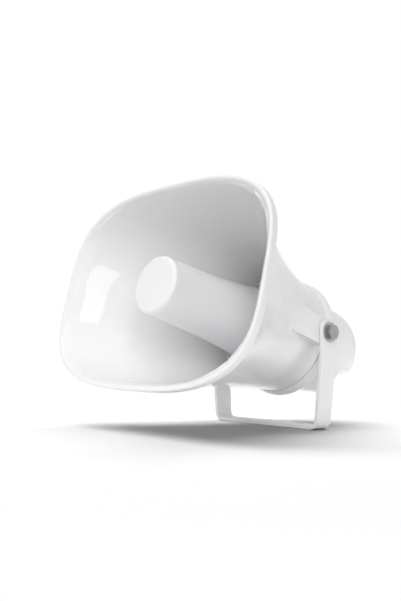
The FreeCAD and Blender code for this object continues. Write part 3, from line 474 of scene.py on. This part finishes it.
def cut_the_lip(mesh, shape):
    """Cuts the long edges across the lip's flat front, so that it can be bent."""
    depths = {}
    for vertex in mesh.verts:
        across, reach, rise = in_horn_frame(vertex.co)
        if reach > shape.mouth_reach - shape.lip_ledge:
            depths[vertex] = depth_from_outline(across, rise, shape)
    spans = []
    for edge in mesh.edges:
        near, far = edge.verts
        if near in depths and far in depths:
            if abs(depths[near] - depths[far]) > shape.lip_width / LIP_PARTS:
                spans.append(edge)
    bmesh.ops.subdivide_edges(mesh, edges=spans, cuts=LIP_CUTS)


def round_the_lip(mesh, shape):
    """Narrows the lip and lets it fall towards the inside, as on a rolled moulding."""
    cut_the_lip(mesh, shape)
    half_width = shape.mouth_width / 2
    half_height = shape.mouth_height / 2
    for vertex in mesh.verts:
        across, reach, rise = in_horn_frame(vertex.co)
        if reach < shape.mouth_reach - shape.lip_ledge:
            continue
        depth = depth_from_outline(across, rise, shape)
        share = (depth - shape.lip_round) / shape.lip_width
        if share > 0:
            wanted = shape.lip_round + share * (shape.lip_width - shape.lip_narrow)
            across *= (half_width - wanted) / (half_width - depth)
            rise *= (half_height - wanted) / (half_height - depth)
            vertex.co = from_horn_frame(across, shape.mouth_reach - shape.lip_fall * share ** 2, rise)


def in_blend(vertex, shape):
    """Whether a vertex lies near a boss's front end."""
    across, reach, rise = in_horn_frame(vertex.co)
    return (abs(across) > shape.blend_across and shape.blend_start < reach < shape.blend_end
            and -shape.boss_half_height * BLEND_BELOW < rise < shape.boss_half_height * BLEND_ABOVE)


def drop_folded_faces(mesh):
    """Takes away both faces of a pair that lies on the same points, which cutting edges can leave."""
    seen = {}
    folded = []
    for face in mesh.faces:
        corners = frozenset(face.verts)
        if corners in seen:
            folded += [seen[corners], face]
        seen[corners] = face
    bmesh.ops.delete(mesh, geom=folded, context="FACES")
    if any(len(edge.link_faces) != 2 for edge in mesh.edges):
        raise RuntimeError("the flare's mesh isn't closed after its edges were cut")


def cut_the_blend(mesh, shape):
    """Cuts long edges near the bosses' front ends, so that they can be bent."""
    for _ in range(BLEND_ROUNDS):
        long_edges = []
        for edge in mesh.edges:
            is_long = edge.calc_length() > shape.blend_grid
            if is_long and all(in_blend(vertex, shape) for vertex in edge.verts):
                long_edges.append(edge)
        if not long_edges:
            break
        bmesh.ops.subdivide_edges(mesh, edges=long_edges, cuts=1)
        bmesh.ops.triangulate(mesh, faces=[face for face in mesh.faces if len(face.verts) > 3])
    drop_folded_faces(mesh)


def blend_the_bosses(mesh, shape):
    """Rounds the bosses' front ends into the flare and leaves the seat of the bracket's ears flat."""
    cut_the_blend(mesh, shape)
    mesh.normal_update()
    for side in (-1.0, 1.0):
        chosen = [vertex for vertex in mesh.verts
                  if in_blend(vertex, shape) and vertex.co.x * side > 0
                  and vertex.normal.x * side > BLEND_FACING]
        for _ in range(shape.blend_turns):
            bmesh.ops.smooth_vert(mesh, verts=chosen, factor=SMOOTHING,
                                  use_axis_x=True, use_axis_y=True, use_axis_z=True)
        for vertex in chosen:
            reach = in_horn_frame(vertex.co)[1]
            share = max(reach - shape.seat_end, 0.0) / (shape.mouth_reach - shape.seat_end)
            limit = shape.boss_face + shape.boss_growth * share ** 2
            vertex.co.x = side * min(side * vertex.co.x, limit)


def deepen_the_crease(mesh, shape):
    """Makes the crease behind the flare narrow and deep, so that it reads as a dark line."""
    for vertex in mesh.verts:
        across, reach, rise = in_horn_frame(vertex.co)
        radius = math.hypot(across, rise)
        in_reach = shape.crease_end < reach < shape.crease_start
        if not (in_reach and shape.crease_floor < radius < shape.crease_rim):
            continue
        if reach > (shape.crease_start + shape.crease_end) / 2:
            reach = shape.crease_end + shape.crease_width
        wanted = radius
        if radius < shape.crease_step:
            wanted = radius - shape.crease_depth
        vertex.co = from_horn_frame(across * wanted / radius, reach, rise * wanted / radius)


def on_inner_lip(point):
    """Whether a point lies on the lip's inner edge, where it meets the flare's wall."""
    shape = bpy.context.scene.horn_shape
    across, reach, rise = in_horn_frame(point)
    if reach < shape.mouth_reach - INNER_LIP_REACH * shape.lip_fall:
        return False
    inner_edge = shape.lip_round + shape.lip_width - shape.lip_narrow
    return abs(depth_from_outline(across, rise, shape) - inner_edge) < INNER_LIP_SLACK * shape.lip_width


def settle_modifiers(piece):
    """Gives the piece the mesh that its modifiers make, and takes them away."""
    graph = bpy.context.evaluated_depsgraph_get()
    final = bpy.data.meshes.new_from_object(piece.evaluated_get(graph))
    piece.modifiers.clear()
    piece.data = final


def flare_object(name, mesh, material):
    """A finished object with smooth faces and crisp edges from the flare's mesh in edit form."""
    data = bpy.data.meshes.new(name)
    mesh.to_mesh(data)
    mesh.free()
    for layer in ("custom_normal", "sharp_face", "sharp_edge"):
        if layer in data.attributes:
            data.attributes.remove(data.attributes[layer])
    data.shade_smooth()
    data.set_sharp_from_angle(angle=SHARP_ANGLE)
    for edge in data.edges:
        if all(on_inner_lip(data.vertices[i].co) for i in edge.vertices):
            edge.use_edge_sharp = True
    data.materials.clear()
    data.materials.append(material)
    piece = bpy.data.objects.new(name, data)
    bpy.context.scene.collection.objects.link(piece)
    weighted = piece.modifiers.new("weighted", "WEIGHTED_NORMAL")
    weighted.keep_sharp = True
    settle_modifiers(piece)
    return piece


class HORN_OT_flare_skin(bpy.types.Operator):
    """Round the mouth's lip, run the pivot bosses smoothly into the flare and deepen the crease"""
    bl_idname = "horn.flare_skin"
    bl_label = "Shape the flare's skin"

    def execute(self, context):
        shape = context.scene.horn_shape
        mesh = merged_copy(frame["nodes"]["horn_flare"])
        round_the_lip(mesh, shape)
        blend_the_bosses(mesh, shape)
        deepen_the_crease(mesh, shape)
        piece = flare_object("flare_skin", mesh, bpy.data.materials["shell_plastic"])
        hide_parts("horn_flare")
        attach(piece, "horn")
        return {"FINISHED"}


# The transformer's wire and sheets

def slanted_block(node):
    """Middle of a block that stands in the horn's frame, and its sizes across, in reach and in rise."""
    low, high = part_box(node)
    middle = (Vector(low) + Vector(high)) / 2
    spans = Vector(high) - Vector(low)
    c = math.cos(bpy.context.scene.horn_shape.tilt)
    d = math.sin(bpy.context.scene.horn_shape.tilt)
    along = (c * spans.y - d * spans.z) / (c * c - d * d)
    upward = (c * spans.z - d * spans.y) / (c * c - d * d)
    return in_horn_frame(middle), (spans.x, along, upward)


def rounded_outline(half_wide, half_high, corner, corner_points):
    """Points and outward directions round a rectangle with round corners."""
    points = []
    for quarter in range(4):
        start = math.pi / 2 * quarter
        side = (1 if quarter in (0, 3) else -1) * (half_wide - corner)
        level = (1 if quarter in (0, 1) else -1) * (half_high - corner)
        for i in range(corner_points):
            angle = start + math.pi / 2 * i / (corner_points - 1)
            outward = (math.cos(angle), math.sin(angle))
            points.append(((side + corner * outward[0], level + corner * outward[1]), outward))
    return points


def loop_mesh(name, outline, place, thickness, sides=6):
    """A closed loop of round wire; place turns two values in its plane and a depth into a point."""
    mesh = bmesh.new()
    rings = []
    for centre, outward in outline:
        ring = []
        for i in range(sides):
            angle = 2 * math.pi * i / sides
            push = (math.cos(angle) - 1) * thickness / 2
            depth = math.sin(angle) * thickness / 2
            point = place(centre[0] + outward[0] * push, centre[1] + outward[1] * push, depth)
            ring.append(mesh.verts.new(point))
        rings.append(ring)
    for i, ring in enumerate(rings):
        after = rings[(i + 1) % len(rings)]
        for j in range(sides):
            k = (j + 1) % sides
            face = mesh.faces.new((ring[j], ring[k], after[k], after[j]))
            face.smooth = True
    bmesh.ops.recalc_face_normals(mesh, faces=mesh.faces)
    data = bpy.data.meshes.new(name)
    mesh.to_mesh(data)
    mesh.free()
    return data


def stack_tree(name):
    """Geometry nodes that repeat a shape along a straight line of steps."""
    tree = bpy.data.node_groups.new(name, "GeometryNodeTree")
    sockets = tree.interface
    sockets.new_socket("Shape", in_out="INPUT", socket_type="NodeSocketGeometry")
    sockets.new_socket("Count", in_out="INPUT", socket_type="NodeSocketInt")
    sockets.new_socket("Step", in_out="INPUT", socket_type="NodeSocketVector")
    sockets.new_socket("Finish", in_out="INPUT", socket_type="NodeSocketMaterial")
    sockets.new_socket("Stack", in_out="OUTPUT", socket_type="NodeSocketGeometry")
    nodes = tree.nodes
    links = tree.links
    given = nodes.new("NodeGroupInput")
    result = nodes.new("NodeGroupOutput")
    line = nodes.new("GeometryNodeMeshLine")
    line.mode = "OFFSET"
    repeated = nodes.new("GeometryNodeInstanceOnPoints")
    solid = nodes.new("GeometryNodeRealizeInstances")
    finish = nodes.new("GeometryNodeSetMaterial")
    links.new(given.outputs["Count"], line.inputs["Count"])
    links.new(given.outputs["Step"], line.inputs["Offset"])
    links.new(line.outputs["Mesh"], repeated.inputs["Points"])
    links.new(given.outputs["Shape"], repeated.inputs["Instance"])
    links.new(repeated.outputs["Instances"], solid.inputs["Geometry"])
    links.new(solid.outputs["Geometry"], finish.inputs["Geometry"])
    links.new(given.outputs["Finish"], finish.inputs["Material"])
    links.new(finish.outputs["Geometry"], result.inputs["Stack"])
    return tree


def stacked(name, shape, count, step, material):
    """A plain mesh object of a shape repeated by the stacking tree."""
    piece = bpy.data.objects.new(name, shape)
    bpy.context.scene.collection.objects.link(piece)
    modifier = piece.modifiers.new("stack", "NODES")
    modifier.node_group = stack_tree(name + "_stack")
    values = {"Count": count, "Step": step, "Finish": material}
    for socket in modifier.node_group.interface.items_tree:
        if socket.in_out == "INPUT" and socket.name in values:
            modifier[socket.identifier] = values[socket.name]
    settle_modifiers(piece)
    piece.data.materials.clear()
    piece.data.materials.append(material)
    piece.data.polygons.foreach_set("material_index", [0] * len(piece.data.polygons))
    return piece


class HORN_OT_winding_turns(bpy.types.Operator):
    """Lay the outer turns of the transformer's winding"""
    bl_idname = "horn.winding_turns"
    bl_label = "Lay the winding"

    def execute(self, context):
        coil = context.scene.horn_coil
        (across, reach, rise), (wide, along, upward) = slanted_block("transformer_winding")
        count = int(along / coil.wire_size)
        first = reach + (count - 1) * coil.wire_size / 2

        def on_winding(sideways, upwards, depth):
            return from_horn_frame(across + sideways, first + depth, rise + upwards)

        outline = rounded_outline(wide / 2 + coil.wire_proud, upward / 2 + coil.wire_proud,
                                  coil.wire_corner, corner_points=5)
        shape = loop_mesh("turn", outline, on_winding, coil.wire_size)
        step = from_horn_frame(0, -coil.wire_size, 0) - from_horn_frame(0, 0, 0)
        piece = stacked("winding_turns", shape, count, step, bpy.data.materials["enamelled_copper"])
        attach(piece, "horn")
        return {"FINISHED"}


class HORN_OT_core_sheets(bpy.types.Operator):
    """Stack the edges of the transformer core's sheets"""
    bl_idname = "horn.core_sheets"
    bl_label = "Stack the core"

    def execute(self, context):
        coil = context.scene.horn_coil
        (across, reach, rise), (wide, along, upward) = slanted_block("transformer_core")
        count = int(upward / coil.sheet_size)
        first = rise - (count - 1) * coil.sheet_size / 2

        def on_core(sideways, forwards, depth):
            return from_horn_frame(across + sideways, reach + forwards, first + depth)

        outline = rounded_outline(wide / 2 + coil.sheet_proud, along / 2 + coil.sheet_proud,
                                  coil.sheet_corner, corner_points=3)
        shape = loop_mesh("sheet_edge", outline, on_core, coil.sheet_size)
        step = from_horn_frame(0, 0, coil.sheet_size) - from_horn_frame(0, 0, 0)
        piece = stacked("core_sheets", shape, count, step, bpy.data.materials["core_steel"])
        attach(piece, "horn")
        return {"FINISHED"}


# Camera, lights and floor

def direction_at(turn, rise):
    """The level direction of the horn's front, turned about the vertical and then raised."""
    return Vector((math.sin(turn) * math.cos(rise), -math.cos(turn) * math.cos(rise), math.sin(rise)))


def camera_axes(turn, rise, roll):
    """Right, up and backward directions of the camera."""
    back = direction_at(turn, rise)
    right = Vector((math.cos(turn), math.sin(turn), 0.0))
    up = back.cross(right)
    c = math.cos(roll)
    s = math.sin(roll)
    return right * c - up * s, right * s + up * c, back


class HORN_OT_camera(bpy.types.Operator):
    """Place the camera"""
    bl_idname = "horn.camera"
    bl_label = "Place the camera"

    def execute(self, context):
        studio = context.scene.horn_studio
        data = bpy.data.cameras.new("photo_camera")
        data.lens = studio.focal_length
        data.sensor_width = 36.0
        data.clip_start = 0.01
        camera = bpy.data.objects.new("photo_camera", data)
        right, up, back = camera_axes(studio.camera_turn, studio.camera_rise, studio.camera_roll)
        turn = Matrix((right, up, back)).transposed().to_4x4()
        camera.matrix_world = Matrix.Translation(studio.camera_place) @ turn
        context.scene.collection.objects.link(camera)
        context.scene.camera = camera
        return {"FINISHED"}


def aimed(place, target):
    """A placement that looks from one point at another."""
    direction = Vector(target) - Vector(place)
    turn = direction.to_track_quat("-Z", "Y").to_matrix().to_4x4()
    return Matrix.Translation(place) @ turn


def soft_light_place(turn, rise):
    """A soft light's place, seen from the horn at a turn from its front and a rise, both in degrees."""
    direction = direction_at(math.radians(turn), math.radians(rise))
    return Vector(HORN_MIDDLE) + SOFT_LIGHT_DISTANCE * direction


def area_light(name, place, target, size, power):
    """A white rectangular light that looks at a target."""
    data = bpy.data.lights.new(name, "AREA")
    data.shape = "RECTANGLE"
    data.size, data.size_y = size
    data.energy = power
    light = bpy.data.objects.new(name, data)
    light.matrix_world = aimed(place, target)
    bpy.context.scene.collection.objects.link(light)
    return light


def link_floor(light, state):
    """Has the light reach the floor alone (INCLUDE) or everything but the floor (EXCLUDE)."""
    chosen = bpy.data.collections.new(light.name + "_" + state.lower())
    chosen.objects.link(bpy.data.objects["floor"])
    for entry in chosen.collection_objects:
        entry.light_linking.link_state = state
    light.light_linking.receiver_collection = chosen


def white_world(scene, strength):
    """Pure white where the camera and reflections look, and an even dim light for the rest."""
    world = bpy.data.worlds.new("white_room")
    world.use_nodes = True
    nodes = world.node_tree.nodes
    links = world.node_tree.links
    nodes.clear()
    output = nodes.new("ShaderNodeOutputWorld")
    mix = nodes.new("ShaderNodeMixShader")
    room = nodes.new("ShaderNodeBackground")
    seen = nodes.new("ShaderNodeBackground")
    room.inputs["Color"].default_value = WHITE
    seen.inputs["Color"].default_value = WHITE
    room.inputs["Strength"].default_value = strength
    seen.inputs["Strength"].default_value = 1.0
    path = nodes.new("ShaderNodeLightPath")
    looked_at = path.outputs["Is Camera Ray"]
    for ray in ("Is Glossy Ray", "Is Transmission Ray"):
        either = nodes.new("ShaderNodeMath")
        either.operation = "MAXIMUM"
        links.new(looked_at, either.inputs[0])
        links.new(path.outputs[ray], either.inputs[1])
        looked_at = either.outputs["Value"]
    links.new(looked_at, mix.inputs["Fac"])
    links.new(room.outputs["Background"], mix.inputs[1])
    links.new(seen.outputs["Background"], mix.inputs[2])
    links.new(mix.outputs["Shader"], output.inputs["Surface"])
    scene.world = world


class HORN_OT_lights(bpy.types.Operator):
    """Set up the soft studio light, which needs the floor"""
    bl_idname = "horn.lights"
    bl_label = "Set up the light"

    def execute(self, context):
        studio = context.scene.horn_studio
        context.scene.view_settings.view_transform = "Standard"
        white_world(context.scene, studio.room_light)
        soft_lights = []
        for name, turn, rise, size in SOFT_LIGHTS:
            power = getattr(studio, name + "_power")
            place = soft_light_place(turn, rise)
            soft_lights.append(area_light(name + "_light", place, HORN_MIDDLE, size, power))
        bounce = area_light("bounce_light", BOUNCE_PLACE, HORN_MIDDLE, BOUNCE_SIZE, studio.bounce_power)
        bounce.visible_camera = False
        for light in soft_lights + [bounce]:
            light.visible_glossy = False
            link_floor(light, "EXCLUDE")
        floor_light = area_light("floor_light", FLOOR_LIGHT_PLACE, FLOOR_LIGHT_TARGET, FLOOR_LIGHT_SIZE,
                                 studio.floor_power)
        floor_light.visible_glossy = False
        link_floor(floor_light, "INCLUDE")
        window = area_light("window_light", WINDOW_PLACE, WINDOW_TARGET, WINDOW_SIZE, studio.window_power)
        link_floor(window, "EXCLUDE")
        return {"FINISHED"}


def floor_material(radius):
    """A pale matt floor with a faint mottle, which thins out to nothing towards its rim."""
    material, shader = new_material("studio_floor")
    nodes = material.node_tree.nodes
    links = material.node_tree.links
    mottle = object_noise(material, scale=8.0)
    shades = shade_range(material, mottle, (0.50, 0.50, 0.50), (0.52, 0.52, 0.52))
    links.new(shades, shader.inputs["Base Color"])
    shader.inputs["Roughness"].default_value = 0.9
    shader.inputs["Specular IOR Level"].default_value = 0.1
    coordinates = nodes.new("ShaderNodeTexCoord")
    reach = nodes.new("ShaderNodeVectorMath")
    reach.operation = "LENGTH"
    fade = nodes.new("ShaderNodeMapRange")
    fade.interpolation_type = "SMOOTHSTEP"
    fade.inputs["From Min"].default_value = radius * FADE_START
    fade.inputs["From Max"].default_value = radius * FADE_END
    fade.inputs["To Min"].default_value = 1.0
    fade.inputs["To Max"].default_value = 0.0
    links.new(coordinates.outputs["Object"], reach.inputs[0])
    links.new(reach.outputs["Value"], fade.inputs["Value"])
    links.new(fade.outputs["Result"], shader.inputs["Alpha"])
    return material


class HORN_OT_stage(bpy.types.Operator):
    """Lay the pale floor"""
    bl_idname = "horn.stage"
    bl_label = "Lay the floor"

    def execute(self, context):
        radius = context.scene.horn_studio.floor_radius
        rim = []
        for i in range(RIM_POINTS):
            angle = 2 * math.pi * i / RIM_POINTS
            rim.append((radius * math.cos(angle), radius * math.sin(angle), 0.0))
        mesh = bpy.data.meshes.new("floor")
        mesh.from_pydata(rim, [], [tuple(range(RIM_POINTS))])
        mesh.materials.append(floor_material(radius))
        floor = bpy.data.objects.new("floor", mesh)
        context.scene.collection.objects.link(floor)
        return {"FINISHED"}


# Panel, registration and the run

class HORN_PT_panel(bpy.types.Panel):
    """Sidebar panel with every setting and every step"""
    bl_label = "Horn loudspeaker"
    bl_idname = "HORN_PT_panel"
    bl_space_type = "VIEW_3D"
    bl_region_type = "UI"
    bl_category = "Horn"

    def draw(self, context):
        layout = self.layout
        scene = context.scene
        for group in (scene.horn_shape, scene.horn_coil, scene.horn_finish, scene.horn_studio):
            box = layout.box()
            for key in group.__annotations__:
                box.prop(group, key)
        for operator in STEPS:
            layout.operator(operator.bl_idname)


SETTINGS = (HornShapeSettings, HornCoilSettings, HornFinishSettings, HornStudioSettings)
STEPS = (HORN_OT_shell_finish, HORN_OT_flare_skin, HORN_OT_metal_finish, HORN_OT_inside_finish,
         HORN_OT_winding_turns, HORN_OT_core_sheets, HORN_OT_camera, HORN_OT_stage, HORN_OT_lights)
CLASSES = SETTINGS + STEPS + (HORN_PT_panel,)


def register():
    """Registers every class and hangs the settings on the scene."""
    for cls in CLASSES:
        bpy.utils.register_class(cls)
    bpy.types.Scene.horn_shape = PointerProperty(type=HornShapeSettings)
    bpy.types.Scene.horn_coil = PointerProperty(type=HornCoilSettings)
    bpy.types.Scene.horn_finish = PointerProperty(type=HornFinishSettings)
    bpy.types.Scene.horn_studio = PointerProperty(type=HornStudioSettings)


def unregister():
    """Takes the settings off the scene and unregisters every class."""
    del bpy.types.Scene.horn_studio
    del bpy.types.Scene.horn_finish
    del bpy.types.Scene.horn_coil
    del bpy.types.Scene.horn_shape
    for cls in reversed(CLASSES):
        bpy.utils.unregister_class(cls)


def main():
    """Takes every step."""
    register()
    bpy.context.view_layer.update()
    bpy.ops.horn.shell_finish()
    bpy.ops.horn.flare_skin()
    bpy.ops.horn.metal_finish()
    bpy.ops.horn.inside_finish()
    bpy.ops.horn.winding_turns()
    bpy.ops.horn.core_sheets()
    bpy.ops.horn.camera()
    bpy.ops.horn.stage()
    bpy.ops.horn.lights()


if __name__ == "__main__":
    main()
